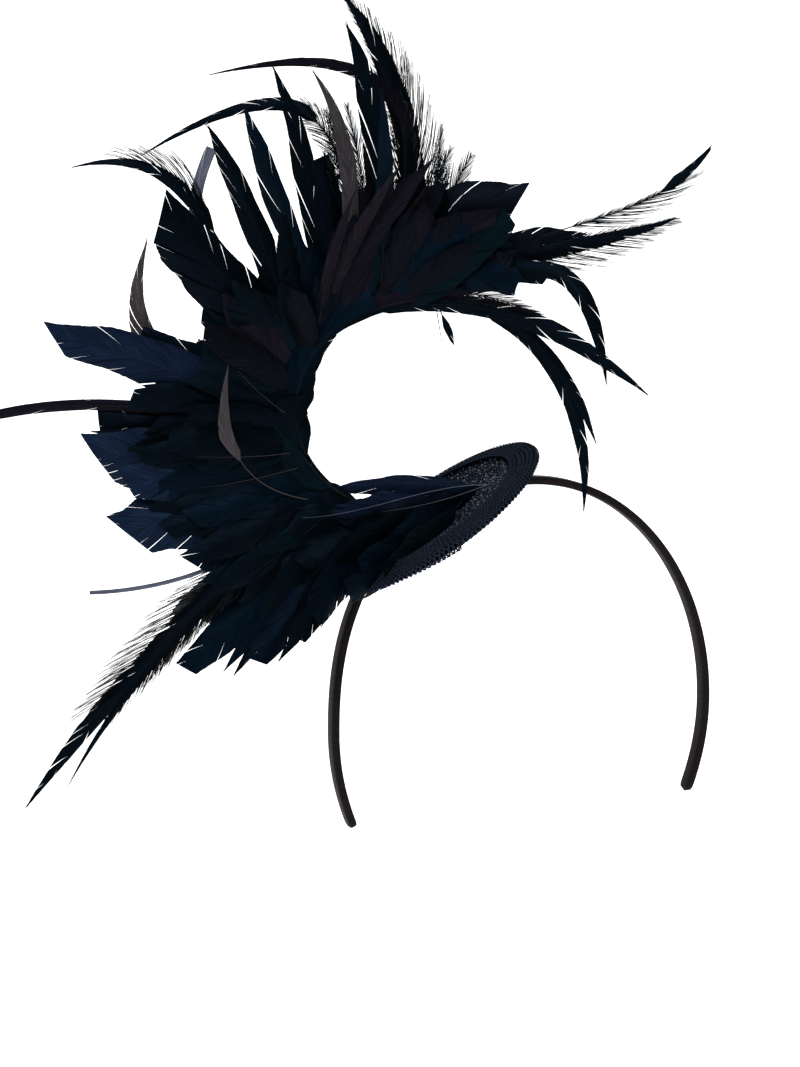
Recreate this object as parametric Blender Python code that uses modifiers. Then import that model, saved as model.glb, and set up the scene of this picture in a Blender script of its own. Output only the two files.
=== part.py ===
"""A feather fascinator: a narrow covered headband, a dished sinamay base with a bound brim, and a plume of
feathers in two sprays along one curved stem.

Metres, +Z up. The headband stands in the XZ plane and the wearer faces -Y. The origin is on the underside of
the band's crown, where it sits on the head.
"""

import math
from collections import namedtuple

import bmesh
import bpy
from mathutils import Matrix, Vector

# Headband: a flat strip bent over the head
BAND_WIDTH = 0.0055
BAND_THICKNESS = 0.0022
BAND_HALF_SPREAD = 0.082
BAND_RISE = 0.095
BAND_LEG = 0.036
BAND_TURN_IN = 0.008
BAND_EDGE_ROUND = 0.0005
BAND_STATIONS = 40
BAND_END_STATIONS = 4
BAND_STRIPS = 4
BAND_END_BLUNT = 0.15

# Sinamay base: a dished round shell, measured from the crest where the brim meets the dish
CREST_RADIUS = 0.034
DISH_SLOPE_WIDTH = 0.003
DISH_DEPTH = 0.006
BASE_WALL = 0.0012
BRIM_WIDTH = 0.0110
BRIM_DROP = 0.0025
TURNED_STEPS = 48

# Brim binding: a strip folded over the brim's edge
BINDING_WALL = 0.0010

# Clearance that touching pieces keep, and the wider one where the stem is split on its bend
GAP = 0.0003
SPLIT_GAP = 0.0008

# Where the base sits on the band
SEAT_ANGLE = math.radians(36.7)
SEAT_FORWARD = 0.0175

# Plume: its plane is turned about the vertical from the band's plane, and its stem is a C open to the front
PLUME_TURN = math.radians(-22.0)
STEM_RADIUS = 0.0030
STEM_END_RADIUS = 0.0014
STEM_ROUNDNESS = 2
STEM_POINTS = 20
CURL_RADIUS = 0.0393
CURL_ACROSS = -0.0127
CURL_UP = 0.0436
STEM_ROOT_ACROSS = 0.0225
STEM_ROOT_UP = 0.0150
STEM_END_ACROSS = 0.0270
STEM_END_UP = 0.0895
STEM_SPLIT = 0.5

# Feathers: tips are set in the plume's plane as shares of FEATHER_SPAN, widths as shares of FEATHER_WIDTH
FEATHER_SPAN = 0.100
FEATHER_WIDTH = 0.020
FEATHER_WALL = 0.0009
FEATHER_STATIONS = 8
FEATHER_CAMBER = 0.10
FEATHER_ROLL = math.radians(16.0)
FEATHER_ROLL_STEP = 2.4

# How a kind of feather widens: its share of the full width at the base, where it is widest, and at the tip
Kind = namedtuple("Kind", "base widest tip")
KINDS = {
    "goose": Kind(0.40, 0.55, 0.70),
    "strap": Kind(0.60, 0.50, 0.30),
    "coque": Kind(0.45, 0.40, 0.10),
}

# root: share of the stem's length; across, up, toward: the tip's place; bow: share of the length by which it
# bends to its left, seen from the front; width: share of FEATHER_WIDTH
Feather = namedtuple("Feather", "kind root across up toward bow width")
LOWER_FEATHERS = (
    Feather("coque", 0.33, -1.55, -1.12, 0.10, 0.00, 0.65),
    Feather("coque", 0.30, -1.37, -1.05, -0.12, -0.03, 0.55),
    Feather("goose", 0.34, -1.08, -0.45, 0.00, 0.00, 0.80),
    Feather("goose", 0.27, -0.90, -0.60, 0.05, 0.00, 0.60),
    Feather("strap", 0.27, -0.77, -0.65, -0.05, 0.00, 0.35),
    Feather("goose", 0.24, -0.67, -0.57, 0.18, 0.00, 0.70),
    Feather("goose", 0.21, -0.50, -0.47, 0.38, -0.03, 0.65),
    Feather("goose", 0.19, -0.36, -0.29, 0.46, -0.06, 0.60),
    Feather("strap", 0.34, -1.01, -0.24, -0.15, 0.00, 0.60),
    Feather("goose", 0.38, -1.13, -0.06, 0.08, 0.02, 1.20),
    Feather("goose", 0.41, -1.28, 0.23, -0.04, 0.02, 1.10),
    Feather("strap", 0.46, -1.75, 0.42, -0.12, -0.03, 0.22),
    Feather("goose", 0.455, -1.44, 0.73, 0.04, -0.02, 0.75),
    Feather("coque", 0.47, -1.09, 1.04, -0.16, 0.23, 0.40),
    Feather("strap", 0.28, -0.83, 0.60, 0.24, 0.25, 0.40),
)
UPPER_FEATHERS = (
    Feather("goose", 0.56, -1.03, 1.19, 0.10, 0.02, 1.10),
    Feather("coque", 0.60, -1.37, 1.36, -0.05, -0.13, 0.60),
    Feather("strap", 0.60, -0.85, 1.41, -0.15, -0.05, 0.40),
    Feather("strap", 0.60, -0.85, 1.51, 0.02, -0.02, 0.38),
    Feather("strap", 0.63, -0.71, 1.60, 0.12, -0.03, 0.38),
    Feather("strap", 0.66, -0.60, 1.73, -0.08, -0.03, 0.33),
    Feather("coque", 0.70, -1.09, 1.38, -0.20, -0.50, 0.45),
    Feather("coque", 0.75, -0.84, 1.70, -0.10, -0.45, 0.45),
    Feather("strap", 0.68, -0.43, 1.74, 0.20, -0.02, 0.25),
    Feather("coque", 0.80, -0.41, 2.05, -0.15, -0.15, 0.75),
    Feather("strap", 0.72, -0.34, 1.91, 0.10, -0.07, 0.55),
    Feather("strap", 0.76, -0.19, 1.68, 0.25, -0.05, 0.22),
    Feather("coque", 0.85, 0.04, 1.56, 0.10, 0.03, 0.40),
    Feather("coque", 0.84, 0.19, 1.34, -0.20, 0.10, 0.50),
    Feather("goose", 0.85, 0.35, 1.22, 0.05, 0.25, 0.72),
    Feather("goose", 0.88, 0.29, 1.05, -0.12, 0.20, 0.80),
    Feather("coque", 0.89, 1.08, 1.42, -0.05, -0.03, 0.70),
    Feather("coque", 0.93, 0.67, 0.54, 0.15, 0.45, 0.42),
    Feather("goose", 0.92, 0.45, 0.92, 0.00, 0.15, 0.70),
    Feather("goose", 0.90, 0.31, 0.90, 0.20, 0.20, 0.45),
    Feather("coque", 0.72, 0.80, 0.53, 0.25, 0.10, 0.45),
    Feather("coque", 0.90, 0.61, 0.07, -0.10, 0.16, 0.38),
)

# Short feathers that fill in along the stem: how far they reach out, and how far they lean to and fro
SHORT_REACH = 0.042
SHORT_LEAN = 0.009
SHORT_BOW = 0.10
SHORT_WIDTH = 0.95
LOWER_SHORT_FIRST, LOWER_SHORT_LAST, LOWER_SHORT_COUNT = 0.30, 0.44, 4
UPPER_SHORT_FIRST, UPPER_SHORT_LAST, UPPER_SHORT_COUNT = 0.57, 0.94, 7


def clear_scene():
    for item in list(bpy.data.objects):
        bpy.data.objects.remove(item, do_unlink=True)


def new_collection(name):
    collection = bpy.data.collections.new(name)
    bpy.context.scene.collection.children.link(collection)
    return collection


def new_material(name, colour, roughness, sheen=0.0):
    material = bpy.data.materials.new(name)
    material.use_nodes = True
    shader = material.node_tree.nodes["Principled BSDF"]
    shader.inputs["Base Color"].default_value = (*colour, 1.0)
    shader.inputs["Roughness"].default_value = roughness
    shader.inputs["Metallic"].default_value = 0.0
    shader.inputs["Sheen Weight"].default_value = sheen
    return material


def new_object(name, mesh, collection, material):
    item = bpy.data.objects.new(name, mesh)
    mesh.materials.append(material)
    collection.objects.link(item)
    return item


def solidify(item, thickness):
    wall = item.modifiers.new("wall", "SOLIDIFY")
    wall.thickness = thickness
    wall.offset = 0.0
    wall.use_even_offset = True
    return wall


def grid_mesh(name, along, across):
    """A flat unit grid, from -0.5 to 0.5 along X and along Y."""
    bm = bmesh.new()
    bmesh.ops.create_grid(bm, x_segments=along, y_segments=across, size=0.5)
    mesh = bpy.data.meshes.new(name)
    bm.to_mesh(mesh)
    bm.free()
    return mesh


def band_middle(share):
    """A point of the band's middle line, with share from -1 to 1, leg end to leg end."""
    side = math.copysign(1.0, share)
    arch_length = 0.5 * math.pi * 0.5 * (BAND_HALF_SPREAD + BAND_RISE)
    arch_share = arch_length / (arch_length + BAND_LEG)
    middle_up = 0.5 * BAND_THICKNESS - BAND_RISE
    if abs(share) <= arch_share:
        turn = 0.5 * math.pi * abs(share) / arch_share
        return Vector((side * BAND_HALF_SPREAD * math.sin(turn), 0.0, middle_up + BAND_RISE * math.cos(turn)))
    down = (abs(share) - arch_share) / (1.0 - arch_share)
    return Vector((side * (BAND_HALF_SPREAD - BAND_TURN_IN * down**2), 0.0, middle_up - BAND_LEG * down))


def build_headband(collection):
    """The strip is a grid laid along the band's middle line, narrowed in a half circle at each end."""
    mesh = grid_mesh("headband", BAND_STATIONS, BAND_STRIPS)
    half_width = 0.5 * BAND_WIDTH
    half_length = 0.25 * math.pi * (BAND_HALF_SPREAD + BAND_RISE) + BAND_LEG
    end_share = half_width / half_length
    plain_stations = 0.5 * BAND_STATIONS - BAND_END_STATIONS
    for vertex in mesh.vertices:
        station, side = vertex.co.x * BAND_STATIONS, 2.0 * vertex.co.y
        share = (1.0 - end_share) * min(1.0, abs(station) / plain_stations)
        turn = 0.5 * math.pi * max(0.0, abs(station) - plain_stations) / BAND_END_STATIONS
        share = math.copysign(share + end_share * math.sin(turn), station)
        narrowed = max(BAND_END_BLUNT, math.cos(turn))
        vertex.co = band_middle(share) + Vector((0.0, side * half_width * narrowed, 0.0))
    item = new_object("headband", mesh, collection, new_material("band_cloth", (0.016, 0.013, 0.016), 0.55))
    solidify(item, BAND_THICKNESS)
    edge = item.modifiers.new("rounded_edges", "BEVEL")
    edge.width = BAND_EDGE_ROUND
    edge.segments = 1
    edge.limit_method = "ANGLE"
    return item


def seat_turn():
    """The turn of the band's arch, from its crown, at which its outward normal leans by SEAT_ANGLE."""
    return math.atan(BAND_HALF_SPREAD / BAND_RISE * math.tan(SEAT_ANGLE))


def base_frame():
    """The base's own frame in the world: origin at its crest's centre, Z along its axis, Y to its front."""
    turn = seat_turn()
    lean = Vector((-math.sin(SEAT_ANGLE), 0.0, math.cos(SEAT_ANGLE)))
    on_band = Vector(
        (
            -BAND_HALF_SPREAD * math.sin(turn),
            0.0,
            0.5 * BAND_THICKNESS - BAND_RISE + BAND_RISE * math.cos(turn),
        )
    )
    on_band += lean * 0.5 * BAND_THICKNESS
    front = Vector((0.0, -1.0, 0.0))
    centre = on_band + lean * (GAP + BASE_WALL + DISH_DEPTH) + front * SEAT_FORWARD
    turned = Matrix((front.cross(lean), front, lean)).transposed().to_4x4()
    return Matrix.Translation(centre) @ turned


def turned_shell(name, profile, wall, collection, material):
    """Turns a profile of (radius, height) about Z, then gives the surface its wall."""
    bm = bmesh.new()
    points = [bm.verts.new((radius, 0.0, height)) for radius, height in profile]
    for start, end in zip(points, points[1:]):
        bm.edges.new((start, end))
    mesh = bpy.data.meshes.new(name)
    bm.to_mesh(mesh)
    bm.free()
    item = new_object(name, mesh, collection, material)
    screw = item.modifiers.new("turned", "SCREW")
    screw.axis = "Z"
    screw.steps = TURNED_STEPS
    screw.render_steps = TURNED_STEPS
    screw.use_merge_vertices = True
    screw.merge_threshold = 0.00001
    screw.use_smooth_shade = True
    solidify(item, wall)
    item.matrix_world = base_frame()
    return item


def build_base(collection):
    """The shell's middle surface runs from the brim's edge over the crest and down to the flat floor."""
    middle = -0.5 * BASE_WALL
    floor_radius = CREST_RADIUS - DISH_SLOPE_WIDTH
    profile = (
        (CREST_RADIUS + BRIM_WIDTH, middle - BRIM_DROP),
        (CREST_RADIUS + 0.5 * BRIM_WIDTH, middle - 0.42 * BRIM_DROP),
        (CREST_RADIUS, middle),
        (CREST_RADIUS - 0.4 * DISH_SLOPE_WIDTH, middle - 0.25 * DISH_DEPTH),
        (CREST_RADIUS - 0.7 * DISH_SLOPE_WIDTH, middle - 0.70 * DISH_DEPTH),
        (floor_radius - 0.2 * DISH_SLOPE_WIDTH, middle - DISH_DEPTH),
        (0.5 * floor_radius, middle - DISH_DEPTH),
        (0.0, middle - DISH_DEPTH),
    )
    material = new_material("sinamay", (0.010, 0.012, 0.022), 0.45)
    return turned_shell("sinamay_base", profile, BASE_WALL, collection, material)


def build_binding(collection):
    """A strip over the brim's upper face, round its edge and back under it."""
    over = 0.5 * BASE_WALL + GAP + 0.5 * BINDING_WALL
    middle = -0.5 * BASE_WALL
    inner = CREST_RADIUS + 0.06 * BRIM_WIDTH
    slope = BRIM_DROP / BRIM_WIDTH

    def brim_height(radius):
        return middle - slope * (radius - CREST_RADIUS)

    edge = CREST_RADIUS + BRIM_WIDTH
    profile = [(inner, brim_height(inner) + over), (edge, brim_height(edge) + over)]
    for step in range(1, 5):
        turn = 0.5 * math.pi - math.pi * step / 5
        profile.append((edge + over * math.cos(turn), brim_height(edge) + over * math.sin(turn)))
    profile += [(edge, brim_height(edge) - over), (inner, brim_height(inner) - over)]
    material = new_material("bias_sinamay", (0.008, 0.010, 0.018), 0.40)
    return turned_shell("rim_binding", profile, BINDING_WALL, collection, material)


def plume_frame():
    """The plume's frame: origin at the centre of the brim's edge, X across, Y away from the front, Z up."""
    centre = base_frame() @ Vector((0.0, 0.0, -0.5 * BASE_WALL - BRIM_DROP))
    return Matrix.Translation(centre) @ Matrix.Rotation(PLUME_TURN, 4, "Z")


def stem_root():
    """The stem's first point in the plume's frame, lying on the dish's floor."""
    into_base = base_frame().inverted() @ plume_frame()
    height = GAP + STEM_RADIUS - DISH_DEPTH
    start = into_base @ Vector((STEM_ROOT_ACROSS, 0.0, STEM_ROOT_UP))
    away = into_base.to_3x3() @ Vector((0.0, 1.0, 0.0))
    depth = (height - start.z) / away.z
    return Vector((STEM_ROOT_ACROSS, depth, STEM_ROOT_UP))


def stem_point(share):
    """A point of the stem in the plume's frame: a straight root, a half circle and a straight end."""
    root = stem_root()
    foot = Vector((CURL_ACROSS, 0.5 * root.y, CURL_UP - CURL_RADIUS))
    head = Vector((CURL_ACROSS, 0.0, CURL_UP + CURL_RADIUS))
    end = Vector((STEM_END_ACROSS, 0.0, STEM_END_UP))
    curl_length = math.pi * CURL_RADIUS
    root_length = (foot - root).length
    end_length = (end - head).length
    along = share * (root_length + curl_length + end_length)
    if along < root_length:
        return root.lerp(foot, along / root_length)
    if along > root_length + curl_length:
        return head.lerp(end, (along - root_length - curl_length) / end_length)
    part = (along - root_length) / curl_length
    turn = -0.5 * math.pi - math.pi * part
    return Vector(
        (
            CURL_ACROSS + CURL_RADIUS * math.cos(turn),
            foot.y * (1.0 - part) ** 2,
            CURL_UP + CURL_RADIUS * math.sin(turn),
        )
    )


def stem_length():
    points = [stem_point(step / 200) for step in range(201)]
    return sum((b - a).length for a, b in zip(points, points[1:]))


def build_stem(name, start, end, collection, material):
    """One stretch of the bound quills, as a tapered tube with closed ends."""
    curve = bpy.data.curves.new(name, "CURVE")
    curve.dimensions = "3D"
    curve.bevel_depth = STEM_RADIUS
    curve.bevel_resolution = STEM_ROUNDNESS
    curve.use_fill_caps = True
    spline = curve.splines.new("POLY")
    spline.points.add(STEM_POINTS - 1)
    for index, point in enumerate(spline.points):
        share = start + (end - start) * index / (STEM_POINTS - 1)
        point.co = (*stem_point(share), 1.0)
        taper = max(0.0, share - STEM_SPLIT) / (1.0 - STEM_SPLIT)
        point.radius = 1.0 + (STEM_END_RADIUS / STEM_RADIUS - 1.0) * taper
    tube = bpy.data.objects.new(name + "_curve", curve)
    tube.matrix_world = plume_frame()
    collection.objects.link(tube)
    bpy.context.view_layer.update()
    evaluated = tube.evaluated_get(bpy.context.evaluated_depsgraph_get())
    mesh = bpy.data.meshes.new_from_object(evaluated)
    bm = bmesh.new()
    bm.from_mesh(mesh)
    bmesh.ops.remove_doubles(bm, verts=bm.verts, dist=0.00001)
    bmesh.ops.recalc_face_normals(bm, faces=bm.faces)
    bm.to_mesh(mesh)
    bm.free()
    mesh.materials.clear()
    item = new_object(name, mesh, collection, material)
    item.matrix_world = tube.matrix_world
    bpy.data.objects.remove(tube, do_unlink=True)
    return item


def vane_share(kind, along):
    """How wide a feather of this kind is at a share of its length."""
    if along < kind.widest:
        return kind.base + (1.0 - kind.base) * math.sin(0.5 * math.pi * along / kind.widest)
    past = (along - kind.widest) / (1.0 - kind.widest)
    return 1.0 - (1.0 - kind.tip) * past**2


def build_feather(name, row, turn, collection, material):
    """A thin cambered blade along a bowed quill, which starts inside the stem."""
    kind = KINDS[row.kind]
    root = stem_point(row.root)
    tip = Vector((row.across, -row.toward, row.up)) * FEATHER_SPAN
    chord = tip - root
    bend = Vector((-chord.z, 0.0, chord.x)) * 2.0 * row.bow
    knee = root + chord * 0.5 + bend
    half_width = 0.5 * row.width * FEATHER_WIDTH
    mesh = grid_mesh(name, FEATHER_STATIONS, 2)
    for vertex in mesh.vertices:
        along, side = vertex.co.x + 0.5, 2.0 * vertex.co.y
        before, after = root.lerp(knee, along), knee.lerp(tip, along)
        heading = (after - before).normalized()
        broad = heading.cross(Vector((0.0, 1.0, 0.0))).normalized()
        broad.rotate(Matrix.Rotation(turn, 3, heading))
        face = heading.cross(broad)
        reach = side * half_width * vane_share(kind, along)
        vertex.co = before.lerp(after, along) + broad * reach + face * FEATHER_CAMBER * abs(reach)
    item = new_object(name, mesh, collection, material)
    solidify(item, FEATHER_WALL)
    item.hide_render = True
    item.display_type = "WIRE"
    item.matrix_world = plume_frame()
    return item


def short_feathers(first, last, count):
    """Rows for short feathers that stand out from the curl, from one share of the stem to another."""
    rows = []
    middle = Vector((CURL_ACROSS, 0.0, CURL_UP))
    for index in range(count):
        share = first + (last - first) * index / (count - 1)
        root = stem_point(share)
        tip = root + (root - middle).normalized() * SHORT_REACH
        toward = SHORT_LEAN * (-1) ** index
        place = (tip.x / FEATHER_SPAN, tip.z / FEATHER_SPAN, toward / FEATHER_SPAN)
        rows.append(Feather("goose", share, *place, SHORT_BOW, SHORT_WIDTH))
    return tuple(rows)


def island_of(face):
    """All faces that hang together with this one."""
    found = {face}
    waiting = [face]
    while waiting:
        for edge in waiting.pop().edges:
            for neighbour in edge.link_faces:
                if neighbour not in found:
                    found.add(neighbour)
                    waiting.append(neighbour)
    return found


def keep_outer_skin(item, fuse):
    """Applies the fusion, then fills the sealed pockets that crossing feathers leave inside it."""
    evaluated = item.evaluated_get(bpy.context.evaluated_depsgraph_get())
    mesh = bpy.data.meshes.new_from_object(evaluated)
    item.modifiers.remove(fuse)
    bm = bmesh.new()
    bm.from_mesh(mesh)
    bmesh.ops.remove_doubles(bm, verts=bm.verts, dist=0.000001)
    islands = []
    seen = set()
    for face in bm.faces:
        if face not in seen:
            islands.append(island_of(face))
            seen |= islands[-1]
    outer = max(islands, key=len)
    bmesh.ops.delete(bm, geom=[face for face in bm.faces if face not in outer], context="FACES")
    bm.to_mesh(mesh)
    bm.free()
    item.data = mesh


def build_spray(name, rows, start, end, collection, material):
    """Fuses one stretch of the stem with the feathers that leave it."""
    stem = build_stem(name, start, end, collection, material)
    feathers = new_collection(name + "_feathers")
    for index, row in enumerate(rows):
        turn = FEATHER_ROLL * math.sin(FEATHER_ROLL_STEP * index)
        build_feather(f"{name}_feather_{index + 1}", row, turn, feathers, material)
    fuse = stem.modifiers.new("fused_feathers", "BOOLEAN")
    fuse.operation = "UNION"
    fuse.operand_type = "COLLECTION"
    fuse.collection = feathers
    fuse.solver = "EXACT"
    bpy.context.view_layer.update()
    keep_outer_skin(stem, fuse)
    return stem


def build_plume(collection):
    """Two sprays that meet end to end, half a clearance each from the stem's split."""
    material = new_material("feather", (0.007, 0.009, 0.014), 0.42, sheen=0.4)
    half_gap = 0.5 * SPLIT_GAP / stem_length()
    lower = LOWER_FEATHERS + short_feathers(LOWER_SHORT_FIRST, LOWER_SHORT_LAST, LOWER_SHORT_COUNT)
    upper = UPPER_FEATHERS + short_feathers(UPPER_SHORT_FIRST, UPPER_SHORT_LAST, UPPER_SHORT_COUNT)
    build_spray("lower_spray", lower, 0.0, STEM_SPLIT - half_gap, collection, material)
    build_spray("upper_spray", upper, STEM_SPLIT + half_gap, 1.0, collection, material)


def build():
    clear_scene()
    parts = new_collection("feather_fascinator")
    build_headband(parts)
    build_base(parts)
    build_binding(parts)
    build_plume(parts)
    bpy.context.view_layer.update()


build()
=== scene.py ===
"""A feather fascinator as it is put together: the covered headband, the dished sinamay base with its bias
binding, then the goose and coque feathers, each vane laid barb by barb along its quill.
"""

import math
from collections import namedtuple

import bmesh
import bpy
import numpy as np
from mathutils import Matrix, Vector


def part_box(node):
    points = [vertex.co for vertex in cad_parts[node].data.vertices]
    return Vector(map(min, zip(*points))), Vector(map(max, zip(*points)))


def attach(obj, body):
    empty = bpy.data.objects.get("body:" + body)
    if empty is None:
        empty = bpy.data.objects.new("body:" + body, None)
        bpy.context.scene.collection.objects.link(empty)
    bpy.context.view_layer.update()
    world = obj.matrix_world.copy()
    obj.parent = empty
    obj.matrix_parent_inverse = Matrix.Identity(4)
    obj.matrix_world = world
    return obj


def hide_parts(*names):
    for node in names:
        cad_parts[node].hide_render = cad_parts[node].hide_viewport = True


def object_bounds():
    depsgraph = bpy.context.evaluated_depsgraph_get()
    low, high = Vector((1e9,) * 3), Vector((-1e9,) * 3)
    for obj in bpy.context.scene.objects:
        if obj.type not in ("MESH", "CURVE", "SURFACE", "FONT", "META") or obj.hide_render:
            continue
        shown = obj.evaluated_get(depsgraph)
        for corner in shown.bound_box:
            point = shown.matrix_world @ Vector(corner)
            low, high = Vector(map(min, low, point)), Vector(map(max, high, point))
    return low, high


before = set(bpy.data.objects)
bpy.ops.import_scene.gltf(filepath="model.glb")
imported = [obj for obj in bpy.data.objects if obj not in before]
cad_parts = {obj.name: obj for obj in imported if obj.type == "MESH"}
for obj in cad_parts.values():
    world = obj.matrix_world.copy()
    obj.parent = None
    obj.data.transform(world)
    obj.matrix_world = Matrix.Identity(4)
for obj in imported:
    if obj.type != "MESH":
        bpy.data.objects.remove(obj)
cad_box = [list(corner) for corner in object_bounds()]


# Headband: a flat spring strip wrapped in dark satin-faced cloth, glued along the underside. It springs over
# the head, its two ends are folded over and rounded, and the shoulder whose power is under 1 bulges more.
BAND_LEG = 0.039
BAND_DROP = 0.003
BAND_PADDING = 0.0006
BAND_SPREAD = 0.0006
BAND_TURN_IN = 0.008
BAND_STATIONS = 220
BAND_AROUND = 24
BAND_SQUARENESS = 0.45
BAND_SHOULDERS = {-1.0: 0.86, 1.0: 1.0}
BAND_CROWDING = 0.25
BAND_END_TAPER = 0.4
BAND_WELD = 0.000002
band_low, band_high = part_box("headband")
band_thickness = band_high[2] + 2.0 * BAND_PADDING
band_half_width = band_high[1] + BAND_PADDING
band_half_spread = band_high[0] + BAND_SPREAD - 0.5 * band_thickness
band_rise = 0.5 * band_thickness - band_low[2] + BAND_DROP - BAND_LEG


def linear(colour):
    """A colour written as sRGB hex, in linear light."""
    channels = [int(colour[place:place + 2], 16) / 255 for place in (1, 3, 5)]
    return tuple(c / 12.92 if c <= 0.04045 else ((c + 0.055) / 1.055) ** 2.4 for c in channels)


def add_node(material, kind, settings=None, links=None):
    """Adds a node. Settings name its properties or its inputs, and links name the sockets that feed it."""
    node = material.node_tree.nodes.new(kind)
    for name, value in (settings or {}).items():
        if isinstance(name, str) and hasattr(node, name):
            setattr(node, name, value)
        else:
            node.inputs[name].default_value = value
    for name, source in (links or {}).items():
        material.node_tree.links.new(source, node.inputs[name])
    return node


def new_material(name):
    material = bpy.data.materials.new(name)
    material.use_nodes = True
    return material, material.node_tree.nodes["Principled BSDF"]


def dress(piece, material, slot, *stands_for):
    """Gives a finished piece its material, lets it ride on the object and hides the solids it stands for."""
    piece.data.materials.clear()
    piece.data.materials.append(material)
    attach(piece, "root")
    if stands_for:
        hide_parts(*stands_for)


def piece_from(bm, name, smooth=True):
    mesh = bpy.data.meshes.new(name)
    for face in bm.faces:
        face.smooth = smooth
    bm.to_mesh(mesh)
    bm.free()
    piece = bpy.data.objects.new(name, mesh)
    bpy.context.scene.collection.objects.link(piece)
    return piece


def band_line(share):
    """A point of the band's middle line and its outward normal, from one end at -1 to the other at 1."""
    side = math.copysign(1.0, share)
    arch = 0.25 * math.pi * (band_half_spread + band_rise)
    arch_share = arch / (arch + BAND_LEG)
    middle = 0.5 * band_thickness - band_rise
    if abs(share) <= arch_share:
        turn = 0.5 * math.pi * abs(share) / arch_share
        fullness = BAND_SHOULDERS[side]
        over, up = math.sin(turn) ** fullness, math.cos(turn) ** fullness
        point = Vector((side * band_half_spread * over, 0.0, middle + band_rise * up))
        out = Vector((side * band_rise * math.sin(turn), 0.0, band_half_spread * math.cos(turn)))
        return point, out.normalized()
    down = (abs(share) - arch_share) / (1.0 - arch_share)
    point = Vector((side * (band_half_spread - BAND_TURN_IN * down**2), 0.0, middle - BAND_LEG * down))
    return point, Vector((side * BAND_LEG, 0.0, -2.0 * BAND_TURN_IN * down)).normalized()


def satin_cloth():
    """Satin-faced polyester, woven: fine cross threads under a soft dull shine. The wave's ridges come out
    six times as far apart as thread_mm, coarser than in real cloth, so that they show at all.
    """
    thread_mm = 0.45
    material, shader = new_material("satin_cloth")
    place = add_node(material, "ShaderNodeTexCoord")
    weave = add_node(
        material, "ShaderNodeTexWave",
        {"wave_type": "BANDS", "bands_direction": "Z", "Scale": 1000 / (thread_mm * 20), "Distortion": 1.5},
        {"Vector": place.outputs["Object"]},
    )
    cloud = add_node(
        material, "ShaderNodeTexNoise", {"Scale": 90.0, "Detail": 4.0}, {"Vector": place.outputs["Object"]}
    )
    tint = add_node(
        material, "ShaderNodeMix",
        {"data_type": "RGBA", 6: (*linear("#0e0a0d"), 1.0), 7: (*linear("#1a1318"), 1.0)},
        {0: cloud.outputs["Fac"]},
    )
    bump = add_node(
        material, "ShaderNodeBump", {"Strength": 0.35, "Distance": 0.0002}, {"Height": weave.outputs["Fac"]}
    )
    material.node_tree.links.new(tint.outputs[2], shader.inputs["Base Color"])
    material.node_tree.links.new(bump.outputs["Normal"], shader.inputs["Normal"])
    shader.inputs["Roughness"].default_value = 0.5
    shader.inputs["Specular IOR Level"].default_value = 0.04
    return material


def covered_band():
    """A tube of flattened section drawn along the band's line, rounded off at both ends."""
    bm = bmesh.new()
    bmesh.ops.create_grid(bm, x_segments=BAND_STATIONS, y_segments=BAND_AROUND, size=0.5)
    half_length = 0.25 * math.pi * (band_half_spread + band_rise) + BAND_LEG
    for vertex in bm.verts:
        station, around = 2.0 * vertex.co.x, 2.0 * math.pi * vertex.co.y
        share = math.sin(0.5 * math.pi * station) * BAND_CROWDING + station * (1.0 - BAND_CROWDING)
        point, out = band_line(share)
        left = max(0.0, (1.0 - abs(share)) * half_length)
        ending = math.sqrt(max(0.0, 1.0 - max(0.0, 1.0 - left / band_half_width) ** 2))
        across = math.copysign(abs(math.cos(around)) ** BAND_SQUARENESS, math.cos(around))
        through = math.copysign(abs(math.sin(around)) ** BAND_SQUARENESS, math.sin(around))
        reach = Vector((0.0, band_half_width * ending * across, 0.0))
        vertex.co = point + reach + out * 0.5 * band_thickness * through * ending**BAND_END_TAPER
    bmesh.ops.remove_doubles(bm, verts=bm.verts, dist=BAND_WELD)
    bmesh.ops.recalc_face_normals(bm, faces=bm.faces)
    return piece_from(bm, "covered_band")


dress(covered_band(), satin_cloth(), "band_cloth", "headband")


# Sinamay base: open plain weave of split abaca straw, stiffened and pressed over a block into a shallow dish.
# Cloth backs it. The matt threads pass over and under each other, with pale specks painted into their colour
# as glints of light. They are laid a little coarser than in most sinamay, so that single ones can be told
# apart.
THREAD_PITCH = 0.00125
THREAD_WIDTH = 0.00075
THREAD_LIFT = 0.00022
THREAD_STEPS_PER_PITCH = 2
THREAD_WANDER = 0.00010
THREAD_WANDER_RATE = 400
DISH_THREAD_GAP = 0.00015
DISH_THREAD_WIDTHS = (0.75, 1.1)
BINDING_RADIUS = 0.0469
CREST_RADIUS = 0.0341
DISH_DEPTH = 0.0060
DISH_STEP = 0.0010
DISH_FLATNESS = 0.9
DISH_TUCK = 0.004
DISH_WALL = 0.0012
DISH_RINGS = 26
CREST_RISE = 0.0026
BRIM_DROP = 0.0020
BINDING_RISE = 0.0006
BINDING_THICKNESS = 0.0014
TURNED_STEPS = 144
TURNED_WELD = 0.000005
SEAT_LEAN = math.radians(34.6)
SEAT_TIP = math.radians(4.1)
SEAT_SHIFT = 0.0020

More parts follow.
